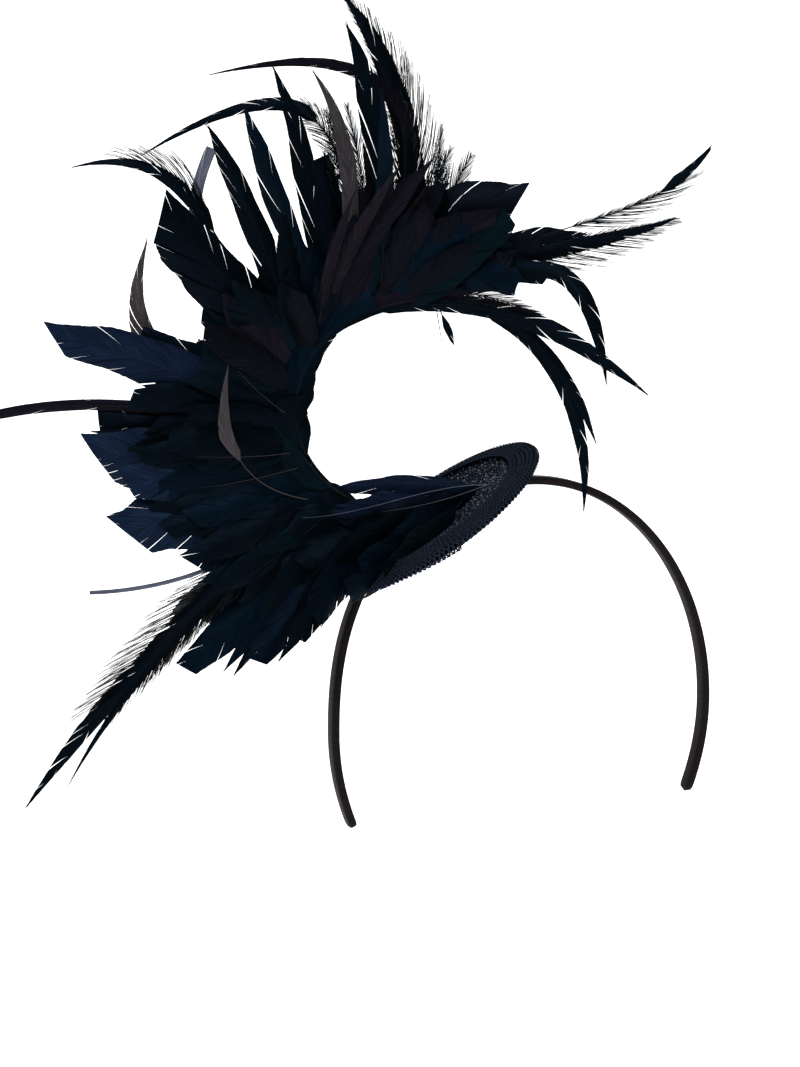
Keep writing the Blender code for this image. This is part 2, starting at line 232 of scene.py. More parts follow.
binding_low, binding_high = (Vector(corner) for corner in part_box("rim_binding"))
base_axis = Vector((-math.sin(SEAT_LEAN), math.sin(SEAT_TIP), math.cos(SEAT_LEAN))).normalized()
base_uphill = Vector((0.0, 1.0, 0.0)).cross(base_axis).normalized()
base_front = base_uphill.cross(base_axis)
base_turn = Matrix((-base_uphill, base_front, base_axis)).transposed()
brim_centre = (binding_low + binding_high) / 2
crest_centre = brim_centre + base_axis * CREST_RISE + base_uphill * SEAT_SHIFT
base_place = Matrix.Translation(crest_centre) @ base_turn.to_4x4()


def dish_height(radius):
    """How high the cloth lies at this distance from the axis, from the crest's height."""
    if radius < CREST_RADIUS:
        return -DISH_STEP - (DISH_DEPTH - DISH_STEP) * (1.0 - (radius / CREST_RADIUS) ** 2) ** DISH_FLATNESS
    return -BRIM_DROP * (radius - CREST_RADIUS) / (BINDING_RADIUS - CREST_RADIUS)


def turned(name, profile, closed=False):
    """A profile of (radius, height) turned about the base's axis: a grid rolled up and welded at its seam."""
    line = profile + profile[:1] if closed else profile
    bm = bmesh.new()
    bmesh.ops.create_grid(bm, x_segments=len(line) - 1, y_segments=TURNED_STEPS, size=0.5)
    for vertex in bm.verts:
        radius, height = line[round((vertex.co.x + 0.5) * (len(line) - 1))]
        turn = 2.0 * math.pi * round((vertex.co.y + 0.5) * TURNED_STEPS) / TURNED_STEPS
        vertex.co = (radius * math.cos(turn), radius * math.sin(turn), height)
    bmesh.ops.remove_doubles(bm, verts=bm.verts, dist=TURNED_WELD)
    bmesh.ops.recalc_face_normals(bm, faces=bm.faces)
    bmesh.ops.transform(bm, matrix=base_place, verts=bm.verts)
    return piece_from(bm, name)


def abaca_backing():
    """Stiffened abaca cloth seen between the threads: dull, dyed dark and painted nearly black for the shade
    that falls between and under them.
    """
    material, shader = new_material("abaca_backing")
    place = add_node(material, "ShaderNodeTexCoord")
    cloud = add_node(
        material, "ShaderNodeTexNoise", {"Scale": 300.0, "Detail": 3.0}, {"Vector": place.outputs["Object"]}
    )
    # Painted shade: the backing is made nearly black for the shade between and under the threads.
    tint = add_node(
        material, "ShaderNodeMix",
        {"data_type": "RGBA", 6: (*linear("#010305"), 1.0), 7: (*linear("#03060b"), 1.0)},
        {0: cloud.outputs["Fac"]},
    )
    material.node_tree.links.new(tint.outputs[2], shader.inputs["Base Color"])
    shader.inputs["Roughness"].default_value = 0.8
    shader.inputs["Specular IOR Level"].default_value = 0.0
    return material


def abaca_thread(name, painted_glint_share):
    """Split abaca straw, dyed navy: matt threads that vary along their length, with pale specks painted into
    their colour as glints of light, as many as painted_glint_share says. Fibres and specks are drawn several
    times coarser than real ones, so that they show from where the photo is taken.
    """
    fibre_mm, speck_mm = 0.25, 0.5
    material, shader = new_material(name)
    place = add_node(material, "ShaderNodeTexCoord")
    fibre = add_node(
        material, "ShaderNodeTexNoise", {"Scale": 1000 / fibre_mm / 4, "Detail": 2.0},
        {"Vector": place.outputs["Object"]},
    )
    tint = add_node(
        material, "ShaderNodeMix",
        {"data_type": "RGBA", 6: (*linear("#010203"), 1.0), 7: (*linear("#2a3240"), 1.0)},
        {0: fibre.outputs["Fac"]},
    )
    bump = add_node(
        material, "ShaderNodeBump", {"Strength": 0.5, "Distance": 0.0002}, {"Height": fibre.outputs["Fac"]}
    )
    speck = add_node(
        material, "ShaderNodeTexNoise", {"Scale": 1000 / speck_mm / 2, "Detail": 0.0},
        {"Vector": place.outputs["Object"]},
    )
    # Painted highlight: pale specks mixed into the threads' colour as glints of light.
    painted_glint_specks = add_node(
        material, "ShaderNodeMapRange",
        {"From Min": 0.60, "From Max": 0.70, "To Min": 0.0, "To Max": painted_glint_share},
        {"Value": speck.outputs["Fac"]},
    )
    speckled_tint = add_node(
        material, "ShaderNodeMix", {"data_type": "RGBA", 7: (*linear("#8f949c"), 1.0)},
        {0: painted_glint_specks.outputs["Result"], 6: tint.outputs[2]},
    )
    material.node_tree.links.new(speckled_tint.outputs[2], shader.inputs["Base Color"])
    material.node_tree.links.new(bump.outputs["Normal"], shader.inputs["Normal"])
    shader.inputs["Roughness"].default_value = 0.5
    shader.inputs["Specular IOR Level"].default_value = 0.0
    return material


def strips(name, places, colours=None, marks=None):
    """One grid, cut into strips: places is (strip, row along it, edge across it, xyz). Colours, one a strip,
    go into the dye attribute, and marks, in mm, into the UV map.
    """
    count, rows, width = places.shape[0], places.shape[1] - 1, places.shape[2] - 1
    columns = count * (width + 1) - 1
    bm = bmesh.new()
    bmesh.ops.create_grid(bm, x_segments=columns, y_segments=rows, size=0.5)
    gaps = [
        face for face in bm.faces
        if int((face.calc_center_median().x + 0.5) * columns) % (width + 1) == width
    ]
    bmesh.ops.delete(bm, geom=gaps, context="FACES")
    corners = np.array([vertex.co[:2] for vertex in bm.verts]) + 0.5
    column = np.rint(corners[:, 0] * columns).astype(int)
    row = np.rint(corners[:, 1] * rows).astype(int)
    strip, edge = column // (width + 1), column % (width + 1)
    piece = piece_from(bm, name)
    mesh = piece.data
    mesh.vertices.foreach_set("co", places[strip, row, edge].astype(np.float32).ravel())
    if colours is not None:
        tints = np.concatenate((colours[strip], np.ones((len(column), 1))), axis=1)
        layer = mesh.color_attributes.new(name="dye", type="FLOAT_COLOR", domain="POINT")
        layer.data.foreach_set("color", tints.astype(np.float32).ravel())
        corner = np.zeros(len(mesh.loops), dtype=int)
        mesh.loops.foreach_get("vertex_index", corner)
        places_mm = marks[strip, row, edge][corner]
        mesh.uv_layers.new(name="barbs").data.foreach_set("uv", places_mm.astype(np.float32).ravel())
    mesh.update()
    return piece


def unit(vectors):
    """The same directions at length 1, along the last axis."""
    return vectors / np.maximum(np.linalg.norm(vectors, axis=-1, keepdims=True), 1e-9)


def moved_by(matrix, places):
    """An array of points, moved by a Blender matrix."""
    return np.array(places) @ np.array(matrix.to_3x3()).T + np.array(matrix.translation)


def thread_edges(path, side, width):
    """The two long edges of a flat thread, side by side: (step, edge, xyz)."""
    return np.stack((path - side * width / 2, path + side * width / 2), axis=1)


def dish_threads():
    """Warp and weft across the dish, each over one and under the next, flat and lifted along the axis."""
    rng = np.random.default_rng(3)
    count = int(2 * CREST_RADIUS / THREAD_PITCH)
    steps = count * THREAD_STEPS_PER_PITCH + 1
    heights = np.vectorize(dish_height)
    places = []
    for way in (0, 1):
        for index in range(count):
            off = (index - 0.5 * (count - 1)) * THREAD_PITCH
            reach = math.sqrt(max(CREST_RADIUS**2 - off**2, 0.0))
            if reach < THREAD_PITCH:
                continue
            along = np.linspace(-reach, reach, steps)
            wander = off + THREAD_WANDER * np.sin(along * THREAD_WANDER_RATE + rng.uniform(0, 6))
            order = (-1) ** (index + way) * np.cos(math.pi * (along / THREAD_PITCH - 0.5 * (count - 1)))
            level = heights(np.hypot(along, wander)) + DISH_THREAD_GAP + THREAD_LIFT * (order + 1.0)
            path = np.stack((along, wander, level) if way == 0 else (wander, along, level), axis=1)
            heading = np.gradient(path, axis=0)
            side = unit(np.stack((-heading[:, 1], heading[:, 0], 0 * heading[:, 0]), axis=1))
            places.append(thread_edges(path, side, THREAD_WIDTH * rng.uniform(*DISH_THREAD_WIDTHS)))
    return strips("dish_threads", moved_by(base_place, places))


dish_radii = np.linspace(CREST_RADIUS + DISH_TUCK, 0.0, DISH_RINGS)
dish_cloth = turned("dish_cloth", [(radius, dish_height(radius)) for radius in dish_radii])
dish_wall = dish_cloth.modifiers.new("wall", "SOLIDIFY")
dish_wall.thickness = DISH_WALL
dish_wall.offset = -1.0
dress(dish_cloth, abaca_backing(), "sinamay", "sinamay_base")
dress(dish_threads(), abaca_thread("glinting_abaca_thread", 0.55), "sinamay", "sinamay_base")


# Brim binding: a strip of the same sinamay cut on the bias, folded in two over the brim's edge and sewn down,
# so that its threads cross at forty five degrees to the edge. Its end laps over its start in a small step.
BINDING_LAP_AT = math.radians(78.0)
BINDING_LAP_RISE = 0.0012
BINDING_LAP_EASE = 0.5
BINDING_INSET = 0.0006
BINDING_THREAD_GAP = 0.0001
BINDING_THREAD_WIDTHS = (0.8, 1.1)
BINDING_THREAD_STEPS = 37
BINDING_RINGS = 24


def binding_point(share):
    """(radius, height) round the folded strip, from its inner edge on top at 0 to the one below at 1."""
    top = CREST_RADIUS + BINDING_INSET
    edge = BINDING_RADIUS - 0.5 * BINDING_THICKNESS
    flat = edge - top
    fold = 0.5 * math.pi * BINDING_THICKNESS
    length = share * (2 * flat + fold)
    if length < flat:
        radius = top + length
        return radius, dish_height(radius) + BINDING_RISE
    if length > flat + fold:
        radius = edge - (length - flat - fold)
        return radius, dish_height(radius) + BINDING_RISE - BINDING_THICKNESS
    turn = 0.5 * math.pi - math.pi * (length - flat) / fold
    middle = dish_height(edge) + BINDING_RISE - 0.5 * BINDING_THICKNESS
    return edge + 0.5 * BINDING_THICKNESS * math.cos(turn), middle + 0.5 * BINDING_THICKNESS * math.sin(turn)


def lap_rise(turn):
    """The binding's end lies on its start: a step that eases out over the next stretch."""
    past = (BINDING_LAP_AT - turn) % (2.0 * math.pi)
    return BINDING_LAP_RISE * max(0.0, 1.0 - past / BINDING_LAP_EASE)


def binding_threads():
    """Threads of both slants, wound from the inner edge on top, round the fold and back underneath."""
    rng = np.random.default_rng(5)
    mean_radius = 0.5 * (CREST_RADIUS + BINDING_RADIUS)
    count = int(2.0 * math.pi * mean_radius / (THREAD_PITCH * math.sqrt(2.0)))
    section = np.array([binding_point(part) for part in np.linspace(0.0, 1.0, BINDING_THREAD_STEPS)])
    length = np.concatenate(([0.0], np.cumsum(np.hypot(*np.diff(section, axis=0).T))))
    normals = unit(np.stack((-np.gradient(section[:, 1]), np.gradient(section[:, 0])), axis=1))
    places = []
    for slant in (-1, 1):
        for index in range(count):
            turn = 2.0 * math.pi * index / count + slant * length / mean_radius
            order = slant * np.cos(math.pi * length / (THREAD_PITCH * math.sqrt(0.5)))
            lift = THREAD_LIFT * (1.0 + order) + np.array([lap_rise(t) for t in turn]) + BINDING_THREAD_GAP
            radius = section[:, 0] + normals[:, 0] * lift
            height = section[:, 1] + normals[:, 1] * lift
            path = np.stack((radius * np.cos(turn), radius * np.sin(turn), height), axis=1)
            face = unit(path * (1.0, 1.0, 0.0)) * normals[:, 0:1]
            face[:, 2] = normals[:, 1]
            side = unit(np.cross(face, np.gradient(path, axis=0)))
            places.append(thread_edges(path, side, THREAD_WIDTH * rng.uniform(*BINDING_THREAD_WIDTHS)))
    return strips("binding_threads", moved_by(base_place, places))


binding_section = [binding_point(part) for part in np.linspace(0.0, 1.0, BINDING_RINGS)]
binding_cloth = turned("binding_cloth", binding_section, closed=True)
dress(binding_cloth, abaca_backing(), "bias_sinamay", "rim_binding")
dress(binding_threads(), abaca_thread("bias_abaca_thread", 0.0), "bias_sinamay", "rim_binding")


# Plume: goose feathers, cut and pressed, and long coque tails, bound by their quills along one C-shaped stem
# whose foot is glued into the dish. A vane is laid lock by lock, so that it splits and frays where barbs
# part. The barbs are laid at least twice as far apart as real ones.
PLUME_TURN = math.radians(-22.0)
CURL_RADIUS = 0.0393
CURL_ACROSS = -0.0127
CURL_UP = 0.0436
STEM_ROOT = (0.0225, 0.0, 0.0150)
STEM_END = (0.0270, 0.0, 0.0895)
STEM_LENGTH = 0.2005
HEADING_STEP = 0.004
plume_place = Matrix.Translation(brim_centre) @ Matrix.Rotation(PLUME_TURN, 4, "Z")


def stem_point(share):
    """A point of the stem in the plume's own frame: a straight foot, a half circle and a straight end."""
    foot = np.array((CURL_ACROSS, 0.0, CURL_UP - CURL_RADIUS))
    head = np.array((CURL_ACROSS, 0.0, CURL_UP + CURL_RADIUS))
    root, end = np.array(STEM_ROOT), np.array(STEM_END)
    first, curl, last = np.linalg.norm(foot - root), math.pi * CURL_RADIUS, np.linalg.norm(end - head)
    along = share * (first + curl + last)
    if along < first:
        return root + (foot - root) * along / first
    if along > first + curl:
        return head + (end - head) * (along - first - curl) / last
    turn = -0.5 * math.pi - (along - first) / CURL_RADIUS
    return np.array((CURL_ACROSS + CURL_RADIUS * math.cos(turn), 0.0, CURL_UP + CURL_RADIUS * math.sin(turn)))


# GOOSE feathers are broad and cut off at the tip, and LEAF ones are trimmed to a point. STRAP is a long
# narrow goose feather, COQUE a cock's tail feather, TRIMMED a quill with its vane cut down, and OPEN one
# whose barbs hang singly. slant and tip_slant: the barbs' angle to the quill in degrees, near its root and at
# its tip. barb: mm between barbs, and zipped: how many of them hang together in a lock. cover: how much of
# its room a lock fills at the quill, and fray: the share of that it loses toward its end. part: degrees that
# locks part by. ragged: share by which they fall short. base, widest and tip: the vane's outline. cut:
# whether the tip is cut off straight. wave: how much the outline undulates. camber: how far the vane arches.
Kind = namedtuple(
    "Kind", "slant tip_slant barb zipped cover fray part ragged base widest tip cut wave camber"
)
GOOSE = Kind(30, 22, 0.9, 9, 1.03, 0.04, 0.45, 0.04, 0.55, 0.50, 0.62, True, 0.10, 0.25)
STRAP = Kind(17, 9, 0.9, 12, 1.02, 0.03, 0.5, 0.03, 0.42, 0.50, 0.06, False, 0.16, 0.25)
COQUE = Kind(26, 14, 0.9, 7, 1.02, 0.06, 0.8, 0.07, 0.50, 0.45, 0.05, False, 0.10, 0.20)
TRIMMED = Kind(17, 12, 0.9, 12, 1.02, 0.03, 0.3, 0.02, 1.00, 0.50, 0.90, True, 0.03, 0.25)
LEAF = Kind(24, 16, 0.9, 12, 1.03, 0.03, 0.3, 0.02, 0.50, 0.50, 0.12, False, 0.05, 0.20)
OPEN = Kind(24, 15, 0.7, 1, 1.0, 0.42, 1.8, 0.26, 0.55, 0.45, 0.20, False, 0.05, 0.15)
BARB_ROWS = 6
BARB_CURVE = 0.15
BARB_UNEVENNESS = 0.02
VANE_TAPER = 2.4
VANE_LIFT = 0.0002
OUTLINE_TRIES = 5
LOOSE_SHARE = 0.06
LOOSE_SPREAD = 2.2
CUT_SLOPE_LEAST = 0.2
TIP_OVERRUN = 1.02
TILT_SPREAD = 0.03
TILT_IN_LOCK = 0.06
TINT_SPREAD = (0.8, 1.2)
QUILL_REACH = 0.97
QUILL_TAPER = 0.85
QUILL_PALER = 1.3
QUILL_LEAST_TINT = 0.0006

# Black dye takes unevenly on feathers, so that single ones are a little green, plum or navy. Umber, brown and
# grey are worn or stripped ones, which look paler. The slate dye is navy painted paler, a painted highlight
# on the feathers and bare quills that face the light. The short feathers draw theirs from two lists.
DYES = {
    "navy": "#01070e",
    "ink": "#010405",
    "green": "#010809",
    "plum": "#0a0609",
    "soot": "#050506",
    # Painted highlight: navy made paler for the feathers that face the light.
    "slate": "#0a1322",
    "umber": "#0f0b0d",
    "brown": "#2e2a2b",
    "grey": "#4c4f5c",
}
LOWER_DYES = ("navy", "ink", "ink", "green", "ink", "navy", "ink")
UPPER_DYES = ("soot", "plum", "soot", "green", "ink", "plum", "navy")

# A feather is bound to the stem at root, a share of its length. across, up and toward: its tip in mm from the
# brim's centre, seen from the front. bow and curl: how far its quill's first and second third swing to its
# left, as shares of its length. left and right: the vane's half widths in mm, 0 on a stripped quill. first
# and last: the stretch of quill that keeps its barbs. skew: how much shorter the cut leaves its left side.
# horn: the quill's radius in mm, or 0 for more barbs on the quill of a row beside it. roll: degrees that the
# vane is turned about its quill. The spines are bare quills that catch the light in front of the mass.
Feather = namedtuple(
    "Feather", "kind root across up toward bow curl left right first last skew horn dye roll"
)
FEATHER_TWIST = 8.0
LOWER_FEATHERS = (
    Feather(COQUE, 0.33, -157.5, -111, 8, -0.03, -0.03, 2.2, 6.6, 0.55, 1.0, 0, 0.6, "ink", 4),
    Feather(COQUE, 0.33, -157.5, -111, 8, -0.03, -0.03, 3, 5.5, 0.20, 0.58, 0, 0, "soot", 4),
    Feather(OPEN, 0.33, -157, -110, 8, -0.03, -0.03, 7, 14, 0.20, 0.66, 0, 0, "ink", 4),
    Feather(COQUE, 0.31, -143.5, -107, -6, -0.05, -0.08, 1.5, 2, 0.50, 1.0, 0, 0.4, "navy", -10),
    Feather(OPEN, 0.31, -142, -105, -6, -0.05, -0.08, 7, 5, 0.15, 0.60, 0, 0, "ink", -10),
    Feather(OPEN, 0.34, -127, -76, 2, -0.02, -0.02, 7, 1, 0.20, 1.0, 0, 0.5, "ink", 12),
    Feather(GOOSE, 0.34, -98, -38, 0, 0.00, 0.00, 8, 6, 0.05, 1.0, 0, 0.5, "green", -8),
    Feather(GOOSE, 0.27, -95, -57, 5, 0.02, 0.00, 8, 7, 0.05, 1.0, 0.3, 0.5, "navy", 10),
    Feather(GOOSE, 0.29, -90, -40, -8, 0.00, 0.02, 8, 8, 0.05, 1.0, 0.4, 0.5, "navy", 5),
    Feather(STRAP, 0.27, -77, -61, -5, 0.00, 0.00, 4, 4, 0.05, 1.0, 0, 0.4, "ink", 0),
    Feather(STRAP, 0.25, -80, -57, 6, -0.02, -0.02, 4, 4, 0.05, 1.0, 0, 0.4, "navy", 20),
    Feather(GOOSE, 0.24, -67, -51, 18, 0.00, 0.00, 7, 7, 0.05, 1.0, 0.3, 0.5, "navy", 0),
    Feather(STRAP, 0.22, -58, -49, 24, 0.00, 0.00, 4, 4, 0.05, 1.0, 0, 0.4, "ink", 10),
    Feather(GOOSE, 0.21, -52, -38, 38, -0.03, -0.03, 7, 7, 0.05, 1.0, 0.2, 0.5, "ink", 6),
    Feather(GOOSE, 0.19, -44, -29, 46, -0.06, -0.06, 7, 7, 0.05, 1.0, -0.3, 0.5, "navy", -6),
    Feather(GOOSE, 0.04, -32, -20, 38, 0.10, 0.08, 7, 7, 0.15, 1.0, 0, 0.5, "navy", -8),
    Feather(GOOSE, 0.06, -18, -15, 34, 0.12, 0.10, 7, 7, 0.15, 1.0, 0, 0.5, "green", -14),
    Feather(GOOSE, 0.12, -36, -12, 28, 0.04, 0.04, 7, 8, 0.10, 1.0, 0, 0.4, "ink", -20),
    Feather(GOOSE, 0.05, -27, -13, 34, 0.06, 0.06, 7, 8, 0.12, 1.0, 0, 0.4, "navy", -26),
    Feather(STRAP, 0.03, -38, 12, -6, -0.04, -0.04, 4.5, 3.5, 0.00, 1.0, 0, 0.4, "slate", 10),
    Feather(STRAP, 0.10, -38, 6, 14, 0.05, 0.05, 5, 7.5, 0.00, 1.0, 0, 0.4, "slate", -20),
    Feather(GOOSE, 0.36, -92, -14, 12, 0.02, 0.02, 9, 9, 0.05, 1.0, 0.5, 0.5, "navy", 8),
    Feather(GOOSE, 0.38, -117, -3, 8, 0.02, 0.02, 15, 16, 0.05, 1.0, 0.68, 0.6, "slate", 4),
    Feather(GOOSE, 0.41, -130.5, 26, -4, 0.02, 0.02, 17, 11, 0.05, 1.0, 0.68, 0.6, "slate", -6),
    Feather(GOOSE, 0.40, -117, 17, 10, 0.02, 0.02, 11, 10, 0.05, 1.0, 0.5, 0.6, "slate", 12),
    Feather(STRAP, 0.42, -131, 34, -8, 0.02, 0.02, 4, 4, 0.05, 1.0, 0, 0.4, "ink", 0),
    Feather(GOOSE, 0.43, -129, 39, -10, 0.00, 0.00, 8, 9, 0.05, 1.0, 0.2, 0.5, "ink", 10),
    Feather(TRIMMED, 0.45, -168, 40, -12, -0.045, -0.09, 2.3, 2.3, 0.00, 1.0, 0, 1.0, "plum", 0),
    Feather(GOOSE, 0.455, -144, 71.8, 4, -0.04, -0.06, 9.5, 9, 0.05, 1.0, 0.9, 0.6, "slate", 8),
    Feather(GOOSE, 0.47, -112, 70.5, -8, -0.03, -0.03, 10, 7, 0.05, 1.0, 0.1, 0.5, "navy", -10),
    Feather(COQUE, 0.47, -109.7, 106, -16, 0.157, 0.505, 8, 3, 0.56, 1.0, 0, 0.5, "brown", 0),
    Feather(COQUE, 0.27, -76, 62, 27, 0.405, 0.405, 5, 2, 0.58, 1.0, 0, 0.35, "brown", 0),
    Feather(TRIMMED, 0.33, -132, -27, 4, 0.14, 0.14, 0.9, 0.9, 0.45, 1.0, 0, 0.4, "grey", 0),
    Feather(OPEN, 0.01, -51, 6, 28, -0.06, 0.06, 0, 0, 0.0, 1.0, 0, 0.17, "grey", 0),
    Feather(OPEN, 0.00, -20, 8, 26, 0.05, 0.05, 0, 0, 0.0, 1.0, 0, 0.15, "grey", 0),
)
LOWER_SPINES = (
    Feather(OPEN, 0.47, -73, 62, 28, 0.06, 0.05, 0, 0, 0.0, 1.0, 0, 0.15, "brown", 0),
    Feather(OPEN, 0.41, -89, 29, 27, 0.05, 0.03, 0, 0, 0.0, 1.0, 0, 0.16, "brown", 0),
    Feather(OPEN, 0.38, -88, 17, 26, 0.02, 0.04, 0, 0, 0.0, 1.0, 0, 0.14, "brown", 0),
    Feather(OPEN, 0.29, -78, -22, 30, 0.03, 0.04, 0, 0, 0.0, 1.0, 0, 0.13, "slate", 0),
    Feather(OPEN, 0.24, -57, -27, 33, 0.04, 0.02, 0, 0, 0.0, 1.0, 0, 0.13, "slate", 0),
)
UPPER_FEATHERS = (
    Feather(GOOSE, 0.56, -101.3, 120, 10, -0.01, -0.02, 14, 9.5, 0.05, 1.0, 0.65, 0.6, "ink", 6),
    Feather(GOOSE, 0.54, -88, 80, -6, 0.00, 0.00, 6, 9, 0.05, 1.0, 0.5, 0.5, "navy", -8),
    Feather(GOOSE, 0.55, -94, 99, -10, 0.00, 0.00, 9, 9, 0.05, 1.0, 0.6, 0.5, "green", 12),
    Feather(GOOSE, 0.60, -74, 88, 14, 0.00, 0.00, 10, 9, 0.05, 1.0, 0, 0.5, "ink", -5),
    Feather(COQUE, 0.60, -136, 135, -5, 0.10, -0.42, 3, 3.5, 0.50, 1.0, 0, 0.5, "ink", 0),
    Feather(OPEN, 0.60, -136, 135, -5, 0.10, -0.42, 2, 12, 0.52, 0.84, 0, 0, "ink", 0),
    Feather(TRIMMED, 0.59, -84, 142, -15, 0.22, 0.39, 3, 2, 0.55, 1.0, 0, 0.4, "grey", 0),
    Feather(STRAP, 0.60, -84, 150, 2, 0.0375, -0.05, 6.0, 4.4, 0.05, 1.0, 0, 0.5, "ink", 0),
    Feather(STRAP, 0.63, -70, 158, 12, -0.045, 0.0, 5.2, 4.2, 0.05, 1.0, 0, 0.5, "navy", 0),
    Feather(STRAP, 0.66, -60, 172, -8, -0.022, -0.068, 5.0, 4.0, 0.05, 1.0, 0, 0.5, "ink", 0),
    Feather(GOOSE, 0.68, -42, 139, 0, 0.02, -0.03, 6, 6, 0.05, 1.0, 0.2, 0.5, "ink", 0),
    Feather(STRAP, 0.70, -41, 140, -6, 0.00, 0.00, 5, 5, 0.05, 1.0, 0, 0.4, "navy", 10),
    Feather(COQUE, 0.70, -110, 140, -20, -0.445, -0.87, 2.5, 4, 0.55, 1.0, 0, 0.5, "ink", 0),
    Feather(OPEN, 0.70, -110, 140, -20, -0.445, -0.87, 6, 6, 0.22, 0.58, 0, 0, "ink", 0),
    Feather(COQUE, 0.75, -84, 169.6, -10, -0.43, -0.80, 2.8, 3.2, 0.40, 1.0, 0, 0.5, "plum", 0),
    Feather(OPEN, 0.75, -84, 169.6, -10, -0.43, -0.80, 4, 5, 0.20, 0.50, 0, 0, "ink", 0),
    Feather(STRAP, 0.68, -44, 170, 20, -0.08, -0.17, 3.2, 3.2, 0.10, 1.0, 0, 0.4, "brown", 0),
    Feather(COQUE, 0.80, -34.5, 200, -15, -0.138, -0.156, 3.5, 6.5, 0.15, 1.0, 0, 0, "soot", 0),
    Feather(OPEN, 0.80, -34.5, 200, -15, -0.138, -0.156, 6, 14, 0.15, 1.0, 0, 0.6, "ink", 0),
    Feather(OPEN, 0.78, -12, 168, -10, -0.05, -0.03, 7, 11, 0.15, 1.0, 0, 0.4, "ink", 10),
    Feather(STRAP, 0.72, -32, 187, 10, -0.132, -0.119, 5.4, 5.6, 0.05, 1.0, 0, 0.5, "ink", 0),
    Feather(STRAP, 0.76, -19, 163, 25, -0.03, -0.03, 3.4, 3.0, 0.10, 1.0, 0, 0.4, "navy", 0),
    Feather(OPEN, 0.74, -32, 158, 16, -0.05, -0.05, 6, 6, 0.10, 1.0, 0, 0.4, "plum", 0),
    Feather(OPEN, 0.69, -40, 156, 6, -0.10, -0.10, 8, 8, 0.10, 1.0, 0, 0.4, "ink", 0),
    Feather(COQUE, 0.62, -29, 127, 30, 0.06, 0.04, 2.2, 2.2, 0.05, 1.0, 0, 0.35, "umber", 8),
    Feather(COQUE, 0.64, -12.5, 136, 30, 0.10, 0.06, 3.2, 2.6, 0.05, 1.0, 0, 0.4, "umber", 10),
    Feather(STRAP, 0.66, -1, 138, 26, 0.12, 0.08, 4.5, 5, 0.05, 1.0, 0, 0.4, "plum", -6),
    Feather(OPEN, 0.85, 3, 151, 10, -0.03, 0.00, 4, 5, 0.20, 1.0, 0, 0.4, "ink", 0),
    Feather(OPEN, 0.84, 15, 139, -20, 0.05, 0.08, 11, 8, 0.20, 1.0, 0, 0.4, "ink", 0),
    Feather(OPEN, 0.82, 7, 142, -12, 0.05, 0.06, 8, 8, 0.20, 1.0, 0, 0.4, "plum", 0),
    Feather(GOOSE, 0.83, 31, 120.5, 5, 0.36, 0.28, 13, 9, 0.05, 1.0, -0.6, 0.6, "soot", 4),
    Feather(GOOSE, 0.86, 29, 109, -8, 0.26, 0.20, 10, 9, 0.05, 1.0, 0, 0.5, "plum", -6),
    Feather(GOOSE, 0.78, 23, 114, 14, 0.22, 0.20, 9, 9, 0.05, 1.0, -0.3, 0.5, "plum", 8),
    Feather(COQUE, 0.89, 58, 110, -5, 0.18, 0.08, 7, 6, 0.05, 1.0, 0, 0.5, "soot", 0),
    Feather(GOOSE, 0.86, 41, 107, 0, 0.20, 0.12, 6, 6, 0.05, 1.0, -0.3, 0.5, "soot", 0),
    Feather(COQUE, 0.89, 92, 116, -4, 0.14, 0.00, 1.6, 4.5, 0.18, 1.0, 0, 0, "soot", 0),
    Feather(OPEN, 0.89, 92, 116, -4, 0.14, 0.00, 3, 14, 0.18, 1.0, 0, 0.4, "ink", 0),
    Feather(COQUE, 0.89, 107, 145, -5, 0.135, -0.17, 5, 2.5, 0.76, 0.97, 0, 0.4, "ink", 0),
    Feather(OPEN, 0.89, 107, 145, -5, 0.135, -0.17, 1.6, 9, 0.46, 0.84, 0, 0, "ink", 0),
    Feather(COQUE, 0.93, 65, 55, 15, 0.66, 0.41, 4, 3, 0.12, 1.0, 0, 0.5, "ink", 0),
    Feather(GOOSE, 0.90, 43, 93, 0, 0.22, 0.18, 7, 4, 0.05, 1.0, -0.3, 0.5, "green", 0),
    Feather(GOOSE, 0.86, 31, 91.5, 20, 0.24, 0.20, 7, 5, 0.05, 1.0, 0, 0.5, "navy", 0),
    Feather(COQUE, 0.72, 80, 51.5, 20, 0.20, 0.155, 4.2, 3.6, 0.05, 1.0, 0, 0.5, "ink", 0),
    Feather(OPEN, 0.74, 40, 81, 16, 0.18, 0.14, 5, 4, 0.10, 1.0, 0, 0.4, "plum", 0),
    Feather(COQUE, 0.90, 59, 3, -10, 0.285, 0.225, 3.6, 3.2, 0.10, 1.0, 0, 0.5, "ink", 0),
    Feather(COQUE, 0.90, 63, 30, -4, 0.20, 0.15, 3, 2.5, 0.10, 1.0, 0, 0.4, "ink", 0),
    Feather(STRAP, 0.87, 8.0, 69, 10, 0.00, 0.00, 1.5, 1.5, 0.30, 1.0, 0, 0.3, "ink", 0),
    Feather(OPEN, 0.868, 5, 60, 8, 0.00, 0.00, 0, 0, 0.0, 1.0, 0, 0.22, "ink", 0),
)

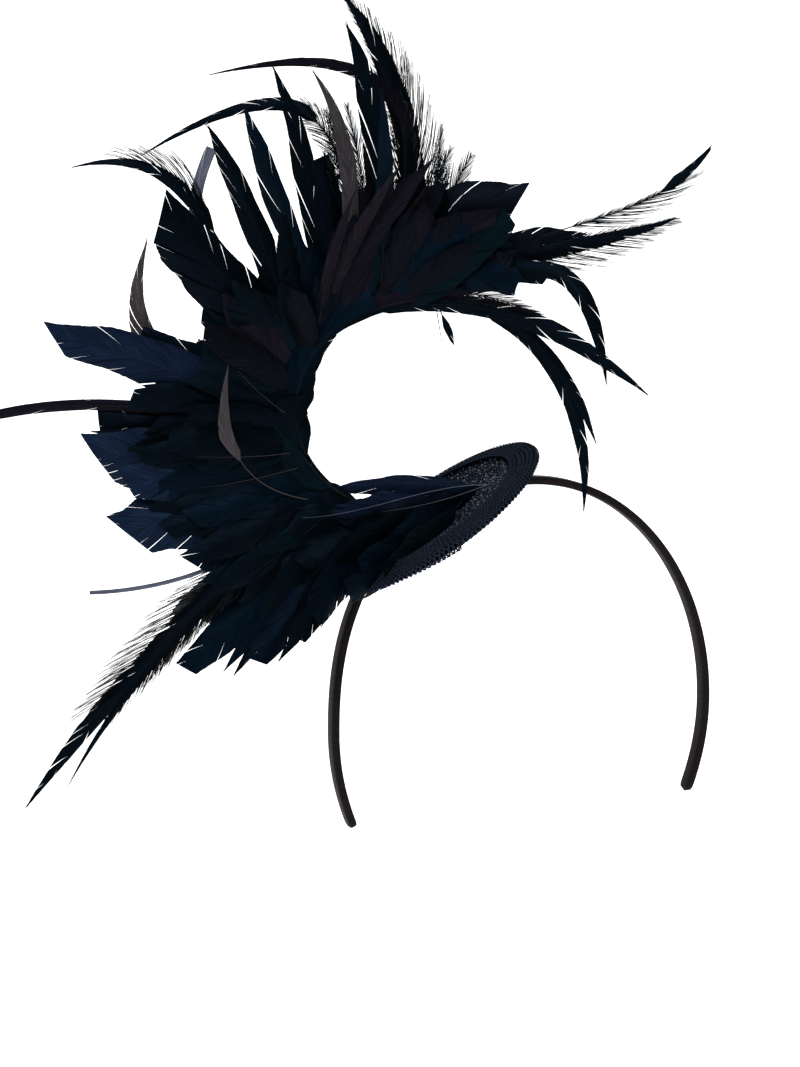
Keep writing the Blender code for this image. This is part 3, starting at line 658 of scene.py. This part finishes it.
# Short goose feathers fill the plume along the stem, from share first to last, the way a milliner packs them.
# reach: their length in mm, lean: degrees they lean on toward the stem's end, width: half of theirs in mm,
# depth: mm that they spread before and behind the stem. The numbers after it say how much they vary.
Fill = namedtuple("Fill", "first last count reach lean width depth")
FILL_LEAN_SPREAD = 6.0
FILL_SHORTEST = 0.72
FILL_DEPTH_SHARE = 0.3
FILL_BEND = 0.05
FILL_WIDTHS = (0.8, 1.15)
FILL_ROLL = 13.0
FILL_SKEW = 0.9
FILL_TWIST = 10.0
FILL_LEAF_SHARE = 0.6
FILL_QUILL = 0.30
LOWER_FILLS = (
    Fill(0.18, 0.27, 10, 48, 54, 8, 15),
    Fill(0.25, 0.38, 18, 62, 20, 7, 15),
    Fill(0.36, 0.495, 26, 65, 12, 8, 17),
    Fill(0.42, 0.495, 10, 46, 22, 7, 15),
)
UPPER_FILLS = (
    Fill(0.505, 0.60, 16, 46, 24, 7, 16),
    Fill(0.56, 0.70, 14, 38, 44, 6, 15),
    Fill(0.62, 0.80, 22, 56, 50, 6.5, 15),
    Fill(0.70, 0.84, 16, 42, 14, 7, 12),
    Fill(0.78, 0.88, 14, 42, 44, 6.5, 14),
    Fill(0.84, 0.98, 10, 24, 42, 7, 11),
)

# Feathers laid along the stem close the curl's inner edge: from share first to last, out from it by rise mm
# at their tips, with a vane inner mm wide on the curl's side and outer mm on the other
Lining = namedtuple("Lining", "first last rise toward inner outer dye")
LINING_SKEW = 0.3
LINING_QUILL = 0.5
LINING_TWIST = 6.0
LOWER_LININGS = (
    Lining(0.02, 0.26, 1.0, 2.0, 2.5, 7, "navy"),
    Lining(0.06, 0.30, 2.0, 9.0, 4.0, 9, "ink"),
    Lining(0.10, 0.33, 2.0, 4.5, 0.5, 8, "ink"),
    Lining(0.18, 0.41, 4.0, 2.5, 0.2, 9, "navy"),
    Lining(0.26, 0.495, 2.5, 4.0, 0.2, 9, "green"),
    Lining(0.33, 0.51, 1.5, -4.0, 0.5, 9, "ink"),
    Lining(0.40, 0.52, 0.0, 5.0, 5.0, 9, "ink"),
)
UPPER_LININGS = (
    Lining(0.455, 0.60, 0.0, 2.0, 6.4, 9, "ink"),
    Lining(0.475, 0.66, 0.0, 3.0, 4.5, 9, "ink"),
    Lining(0.50, 0.76, 1.0, 5.0, 1.5, 9, "navy"),
    Lining(0.60, 0.84, 1.5, 3.0, 2.0, 9, "ink"),
    Lining(0.70, 0.93, 1.5, 4.5, 0.8, 9, "plum"),
    Lining(0.78, 1.00, 2.0, 2.5, 0.3, 8, "ink"),
    Lining(0.86, 1.04, 2.0, 4.0, 0.3, 7, "navy"),
)

Blade = namedtuple("Blade", "points kind left right first last skew horn dye roll twist")


def stem_heading(share):
    return unit(stem_point(share + HEADING_STEP) - stem_point(share - HEADING_STEP))


def stem_out(share):
    """Away from the curl's centre, square to the stem."""
    heading = stem_heading(share)
    return np.array((-heading[2], 0.0, heading[0]))


def feather_blade(row, rng):
    root = stem_point(row.root)
    tip = np.array((row.across, -row.toward, row.up)) * 0.001
    chord = tip - root
    left = np.array((-chord[2], 0.0, chord[0]))
    points = [root, root + chord / 3 + left * row.bow, root + chord * 2 / 3 + left * row.curl, tip]
    twist = rng.normal(0.0, FEATHER_TWIST) if row.horn else 0.0
    return Blade(points, row.kind, *row[7:], twist)


def fill_blades(fill, dyes, rng):
    """Short feathers bound all along a stretch of the stem."""
    for index in range(fill.count):
        share = fill.first + (fill.last - fill.first) * (index + rng.uniform(0, 1)) / fill.count
        root, heading, out = stem_point(share), stem_heading(share), stem_out(share)
        lean = math.radians(fill.lean + rng.normal(0.0, FILL_LEAN_SPREAD))
        reach = fill.reach * 0.001 * rng.uniform(FILL_SHORTEST, 1.0)
        aside = np.array((0.0, rng.uniform(-1.0, 1.0) * fill.depth * 0.001, 0.0))
        tip = root + (out * math.cos(lean) + heading * math.sin(lean)) * reach + aside
        chord = tip - root
        swing = aside * FILL_DEPTH_SHARE + np.array((-chord[2], 0.0, chord[0])) * rng.normal(0.0, FILL_BEND)
        points = [root, root + chord / 3 + swing, root + chord * 2 / 3 + swing, tip]
        width = fill.width * rng.uniform(*FILL_WIDTHS)
        dye, roll = dyes[rng.integers(len(dyes))], rng.normal(0.0, FILL_ROLL)
        skew, twist = rng.uniform(-FILL_SKEW, FILL_SKEW), rng.normal(0.0, FILL_TWIST)
        kind = LEAF if rng.uniform() < FILL_LEAF_SHARE else GOOSE
        yield Blade(points, kind, width, width, 0.0, 1.0, skew, FILL_QUILL, dye, roll, twist)


def lining_blade(row):
    """A feather laid along the stem, which may run on past the stem's end."""
    start, end = stem_point(row.first), stem_point(min(row.last, 1.0))
    over = max(row.last - 1.0, 0.0) * STEM_LENGTH
    aside = np.array((0.0, -row.toward * 0.001, 0.0))
    end = end + stem_out(row.last) * row.rise * 0.001 + aside + stem_heading(1.0) * over
    third = (row.last - row.first) * STEM_LENGTH / 3.0
    points = [
        start + aside * 0.5, start + stem_heading(row.first) * third + aside,
        end - stem_heading(min(row.last, 0.99)) * third, end,
    ]
    widths = (row.outer, row.inner)
    return Blade(points, GOOSE, *widths, 0.0, 1.0, LINING_SKEW, LINING_QUILL, row.dye, 0.0, LINING_TWIST)


def quill_at(points, share):
    """Points of a quill's curve, which runs straight on past its end."""
    held = np.clip(share, 0.0, 1.0)[..., None]
    weights = ((1 - held) ** 3, 3 * held * (1 - held) ** 2, 3 * held**2 * (1 - held), held**3)
    place = sum(weight * point for weight, point in zip(weights, points))
    end = 3.0 * (points[3] - points[2])
    return place + (share[..., None] - held) * end


def quill_heading(points, share):
    """The direction of a quill's curve at each share of its length."""
    held = np.clip(share, 0.0, 1.0)[..., None]
    steps = [b - a for a, b in zip(points, points[1:])]
    heading = (1 - held) ** 2 * steps[0] + 2 * held * (1 - held) * steps[1] + held**2 * steps[2]
    return unit(heading)


def vane_frame(blade, share):
    """The quill's point, the vane's broad direction and its face at each share of the length."""
    heading = quill_heading(blade.points, share)
    broad = unit(np.stack((-heading[..., 2], 0 * heading[..., 0], heading[..., 0]), axis=-1))
    face = np.cross(heading, broad)
    turn = np.radians(blade.roll + blade.twist * np.clip(share, 0, 1))[..., None]
    rolled = broad * np.cos(turn) + face * np.sin(turn)
    return quill_at(blade.points, share), rolled, face * np.cos(turn) - broad * np.sin(turn)


def vane_share(kind, along):
    """How much of its full width the vane has at each share of the length."""
    opening = kind.base + (1.0 - kind.base) * np.sin(0.5 * np.pi * np.clip(along / kind.widest, 0, 1))
    past = np.clip((along - kind.widest) / (1.0 - kind.widest), 0, 1)
    return np.where(along < kind.widest, opening, 1.0 - (1.0 - kind.tip) * past**VANE_TAPER)


def lay_barbs(blade, rng):
    """A feather's locks of barbs: places (lock, row, edge, xyz), marks (lock, row, edge, mm) and tints."""
    kind = blade.kind
    fine = quill_at(blade.points, np.linspace(0, 1, 40))
    length = np.linalg.norm(np.diff(fine, axis=0), axis=1).sum()
    kept = length * (blade.last - blade.first)
    count = max(3, round(kept / (kind.barb * kind.zipped * 0.001)))
    dye = np.array(linear(DYES[blade.dye])) * rng.uniform(*TINT_SPREAD)
    phase = rng.uniform(0, 6.3, 3)
    part = np.linspace(0, 1, BARB_ROWS + 1)[None, :, None]
    places, marks, tints = [], [], []
    for side, width in ((1.0, blade.left * 0.001), (-1.0, blade.right * 0.001)):
        room = (blade.last - blade.first) / count
        middle = (blade.first + room * (np.arange(count) + 0.5))[:, None, None]
        edge = np.linspace(-0.5, 0.5, kind.zipped + 1)[None, None, :] * room * kind.cover
        start = middle + edge * (1.0 - kind.fray * part**2)
        loose = np.where(rng.uniform(0, 1, count) < LOOSE_SHARE, LOOSE_SPREAD, 1.0)
        lean = (rng.normal(0, kind.part, count) * loose)[:, None, None]
        slant = np.radians(kind.slant + (kind.tip_slant - kind.slant) * start + lean)
        reach = width / np.sin(slant)
        for _ in range(OUTLINE_TRIES):
            end = np.clip(start + reach * np.cos(slant) / length, 0, 1)
            sway = np.sin(9.0 * end + phase[0] + side) + 0.5 * np.sin(23.0 * end + phase[1] - side)
            outline = vane_share(kind, end) * (1.0 + kind.wave * sway * end)
            reach = 0.5 * (reach + width * outline / np.sin(slant))
        reach = reach * (1.0 - rng.uniform(0, kind.ragged, count)[:, None, None])
        reach = reach * (1.0 - rng.uniform(0, BARB_UNEVENNESS, kind.zipped + 1)[None, None, :])
        if kind.cut:
            spare = np.maximum(1.0 - start, 0.0) * length
            toward_cut = np.cos(slant) + blade.skew * side * np.sin(slant)
            reach = np.minimum(reach, spare / np.maximum(toward_cut, CUT_SLOPE_LEAST))
        else:
            reach = np.minimum(reach, np.maximum(TIP_OVERRUN - start, 0.0) * length / np.cos(slant))
        along = reach * np.cos(slant) * part
        out = reach * np.sin(slant) * ((1.0 + BARB_CURVE) * part - BARB_CURVE * part**2)
        share = start + along / length
        tilt = rng.normal(0.0, TILT_SPREAD, count)[:, None, None] + TILT_IN_LOCK * edge / room
        ripple = 0.06 * np.sin(14.0 * share + phase[1]) + 0.03 * np.sin(31.0 * share + phase[2])
        rise = out * (ripple + tilt) - kind.camber * out**2 / width + VANE_LIFT
        place, broad, face = vane_frame(blade, share)
        places.append(place + broad * (side * out)[..., None] + face * rise[..., None])
        along_mm, out_mm = start * length * 1000 + 200 * phase[0], part * reach * 1000 + 0 * start
        marks.append(np.stack((along_mm, out_mm), axis=-1))
        tints.append(dye[None, :] * rng.uniform(*TINT_SPREAD, count)[:, None])
    return np.concatenate(places), np.concatenate(marks), np.concatenate(tints)


def lay_quill(blade, around=6, steps=20):
    """A feather's tapered quill as strips of its sides: places, marks and tints, as lay_barbs gives them."""
    share = np.linspace(0.0, QUILL_REACH, steps + 1)
    place, broad, face = vane_frame(blade, share)
    girth = blade.horn * 0.001 * (1.0 - QUILL_TAPER * share)
    turn = 2.0 * math.pi * np.arange(around + 1) / around
    edges = [place + (broad * math.cos(angle) + face * math.sin(angle)) * girth[:, None] for angle in turn]
    places = np.stack([np.stack((edges[side], edges[side + 1]), axis=1) for side in range(around)])
    tint = np.array(linear(DYES[blade.dye])) * QUILL_PALER + QUILL_LEAST_TINT
    return places, places[..., :2] * 1000, np.tile(tint, (around, 1))


def dyed_feather():
    """Keratin barbs, dyed and pressed: nearly black, streaked along the barbs where they zip together, with a
    soft silky shine, and fine lines of painted highlight added to their colour, drawn coarser than single
    barbs.
    """
    barb_mm, streak_mm = 0.6, 14.0
    gleam_mm, gleam_length_mm = 0.45, 9.0
    material, shader = new_material("dyed_feather")
    dye = add_node(material, "ShaderNodeAttribute", {"attribute_name": "dye"})
    place = add_node(material, "ShaderNodeUVMap", {"uv_map": "barbs"})
    stretched = add_node(
        material, "ShaderNodeMapping", {"Scale": (1 / barb_mm, 1 / streak_mm, 1.0)},
        {"Vector": place.outputs[0]},
    )
    streak = add_node(
        material, "ShaderNodeTexNoise", {"Scale": 1.0, "Detail": 3.0, "Roughness": 0.6},
        {"Vector": stretched.outputs[0]},
    )
    shade = add_node(
        material, "ShaderNodeMapRange", {"From Min": 0.3, "From Max": 0.7, "To Min": 0.55, "To Max": 1.6},
        {"Value": streak.outputs["Fac"]},
    )
    fine = add_node(
        material, "ShaderNodeMapping", {"Scale": (1 / gleam_mm, 1 / gleam_length_mm, 1.0)},
        {"Vector": place.outputs[0]},
    )
    gleam = add_node(
        material, "ShaderNodeTexNoise", {"Scale": 1.0, "Detail": 1.0}, {"Vector": fine.outputs[0]}
    )
    # Painted highlight: fine bright lines along the barbs, added to the dye's colour.
    painted_barb_glint = add_node(
        material, "ShaderNodeMapRange", {"From Min": 0.62, "From Max": 0.76, "To Min": 0.0, "To Max": 3.0},
        {"Value": gleam.outputs["Fac"]},
    )
    both = add_node(
        material, "ShaderNodeMath", {"operation": "ADD"},
        {0: shade.outputs["Result"], 1: painted_barb_glint.outputs["Result"]},
    )
    tinted = add_node(
        material, "ShaderNodeVectorMath", {"operation": "SCALE"},
        {"Vector": dye.outputs["Color"], "Scale": both.outputs[0]},
    )
    bump = add_node(
        material, "ShaderNodeBump", {"Strength": 0.5, "Distance": 0.00025}, {"Height": streak.outputs["Fac"]}
    )
    material.node_tree.links.new(tinted.outputs["Vector"], shader.inputs["Base Color"])
    material.node_tree.links.new(bump.outputs["Normal"], shader.inputs["Normal"])
    shader.inputs["Roughness"].default_value = 0.4
    shader.inputs["Specular IOR Level"].default_value = 0.07
    shader.inputs["Specular Tint"].default_value = (*linear("#7ea6e0"), 1.0)
    return material


def quill_horn():
    """Bare feather shaft: smooth dyed horn, glossier than the barbs."""
    material, shader = new_material("quill_horn")
    dye = add_node(material, "ShaderNodeAttribute", {"attribute_name": "dye"})
    material.node_tree.links.new(dye.outputs["Color"], shader.inputs["Base Color"])
    shader.inputs["Roughness"].default_value = 0.35
    shader.inputs["Specular IOR Level"].default_value = 0.05
    return material


feather_material = dyed_feather()
quill_material = quill_horn()


def bind(name, blades, rng, stands_for):
    """Lays the blades of each kind as one joined piece, and their quills as another."""
    kinds = {"goose": GOOSE, "leaf": LEAF, "strap": STRAP, "trimmed": TRIMMED, "coque": COQUE, "open": OPEN}
    for kind_name, kind in kinds.items():
        laid = [lay_barbs(blade, rng) for blade in blades if blade.kind == kind and blade.left]
        if not laid:
            continue
        places, marks, tints = (np.concatenate(part) for part in zip(*laid))
        vanes = strips(name + "_" + kind_name + "_vanes", moved_by(plume_place, places), tints, marks)
        dress(vanes, feather_material, "feather", stands_for)
    laid = [lay_quill(blade) for blade in blades if blade.horn]
    places, marks, tints = (np.concatenate(part) for part in zip(*laid))
    quills = strips(name + "_quills", moved_by(plume_place, places), tints, marks)
    dress(quills, quill_material, "feather", stands_for)


def spray(name, feathers, fills, linings, dyes, seed, stands_for):
    rng = np.random.default_rng(seed)
    blades = [feather_blade(row, rng) for row in feathers]
    for fill in fills:
        blades += fill_blades(fill, dyes, rng)
    blades += [lining_blade(row) for row in linings]
    bind(name, blades, rng, stands_for)


spray("lower", LOWER_FEATHERS, LOWER_FILLS, LOWER_LININGS, LOWER_DYES, 11, "lower_spray")
spray("lower_bare", LOWER_SPINES, (), (), (), 13, "lower_spray")
spray("upper", UPPER_FEATHERS, UPPER_FILLS, UPPER_LININGS, UPPER_DYES, 12, "upper_spray")


# Studio: a white sweep, a big soft light over the left shoulder, a weaker one from the right and one from
# behind that picks out the fine barbs, all seen by a long lens.
CAMERA_TURN = math.radians(-22.0)
CAMERA_RISE = math.radians(9.5)
CAMERA_DISTANCE = 0.97
CAMERA_LENS = 85.0
CAMERA_SENSOR = 36.0
AIM_RIGHT = -0.0124
AIM_UP = -0.0045
SWEEP_BELOW = 0.14
SWEEP_FRONT = -2.5
SWEEP_FLAT = 1.2
SWEEP_BEND_STEPS = 16
SWEEP_BEND = 0.8
SWEEP_TOP = 4.0
SWEEP_HALF_WIDTH = 5.0

camera_back = Vector(
    (
        math.sin(CAMERA_TURN) * math.cos(CAMERA_RISE),
        -math.cos(CAMERA_TURN) * math.cos(CAMERA_RISE),
        math.sin(CAMERA_RISE),
    )
)
camera_right = Vector((math.cos(CAMERA_TURN), math.sin(CAMERA_TURN), 0.0))
camera_up = camera_back.cross(camera_right)
camera_data = bpy.data.cameras.new("camera")
camera_data.lens = CAMERA_LENS
camera_data.sensor_width = CAMERA_SENSOR
camera = bpy.data.objects.new("camera", camera_data)
bpy.context.scene.collection.objects.link(camera)
aim = brim_centre + camera_right * AIM_RIGHT + camera_up * AIM_UP
camera_axes = Matrix((camera_right, camera_up, camera_back)).transposed().to_4x4()
camera.matrix_world = Matrix.Translation(aim + camera_back * CAMERA_DISTANCE) @ camera_axes
bpy.context.scene.camera = camera


def area_light(name, place, size, power):
    data = bpy.data.lights.new(name, "AREA")
    data.size = size
    data.energy = power
    light = bpy.data.objects.new(name, data)
    light.location = place
    light.rotation_euler = (aim - Vector(place)).to_track_quat("-Z", "Y").to_euler()
    bpy.context.scene.collection.objects.link(light)


area_light("key", (-1.0, -1.3, 1.3), 0.8, 30.0)
area_light("fill", (1.3, -1.2, 0.6), 1.2, 6.0)
area_light("rim", (-0.4, 1.4, 1.2), 0.8, 12.0)

world = bpy.data.worlds.new("studio")
bpy.context.scene.world = world
world.use_nodes = True
world.node_tree.nodes["Background"].inputs["Color"].default_value = (1.0, 1.0, 1.0, 1.0)
world.node_tree.nodes["Background"].inputs["Strength"].default_value = 0.2


def studio_sweep():
    """A floor that curves up into a wall: a profile drawn out to both sides, painted white and lit evenly."""
    floor_height = cad_box[0][2] - SWEEP_BELOW
    bend = [(math.sin(turn), 1.0 - math.cos(turn)) for turn in np.linspace(0.1, 1.57, SWEEP_BEND_STEPS)]
    profile = [(SWEEP_FRONT, 0.0), (SWEEP_FLAT, 0.0)]
    profile += [(SWEEP_FLAT + SWEEP_BEND * out, SWEEP_BEND * up) for out, up in bend]
    profile += [(SWEEP_FLAT + SWEEP_BEND, SWEEP_TOP)]
    bm = bmesh.new()
    across, along = camera_right * SWEEP_HALF_WIDTH, -camera_back.xy.to_3d().normalized()
    places = [along * reach + Vector((0, 0, floor_height + rise)) - across for reach, rise in profile]
    line = [bm.verts.new(place) for place in places]
    edges = [bm.edges.new(pair) for pair in zip(line, line[1:])]
    drawn = bmesh.ops.extrude_edge_only(bm, edges=edges)
    moved = [item for item in drawn["geom"] if isinstance(item, bmesh.types.BMVert)]
    bmesh.ops.translate(bm, verts=moved, vec=across * 2.0)
    bmesh.ops.recalc_face_normals(bm, faces=bm.faces)
    return piece_from(bm, "studio_sweep")


sweep = studio_sweep()
sweep_material, sweep_shader = new_material("white_sweep_paint")
sweep_shader.inputs["Base Color"].default_value = (*linear("#f2f2f2"), 1.0)
sweep_shader.inputs["Roughness"].default_value = 0.9
sweep_shader.inputs["Emission Color"].default_value = (1.0, 1.0, 1.0, 1.0)
sweep_shader.inputs["Emission Strength"].default_value = 0.75
sweep.data.materials.append(sweep_material)

bpy.context.scene.view_settings.view_transform = "Standard"
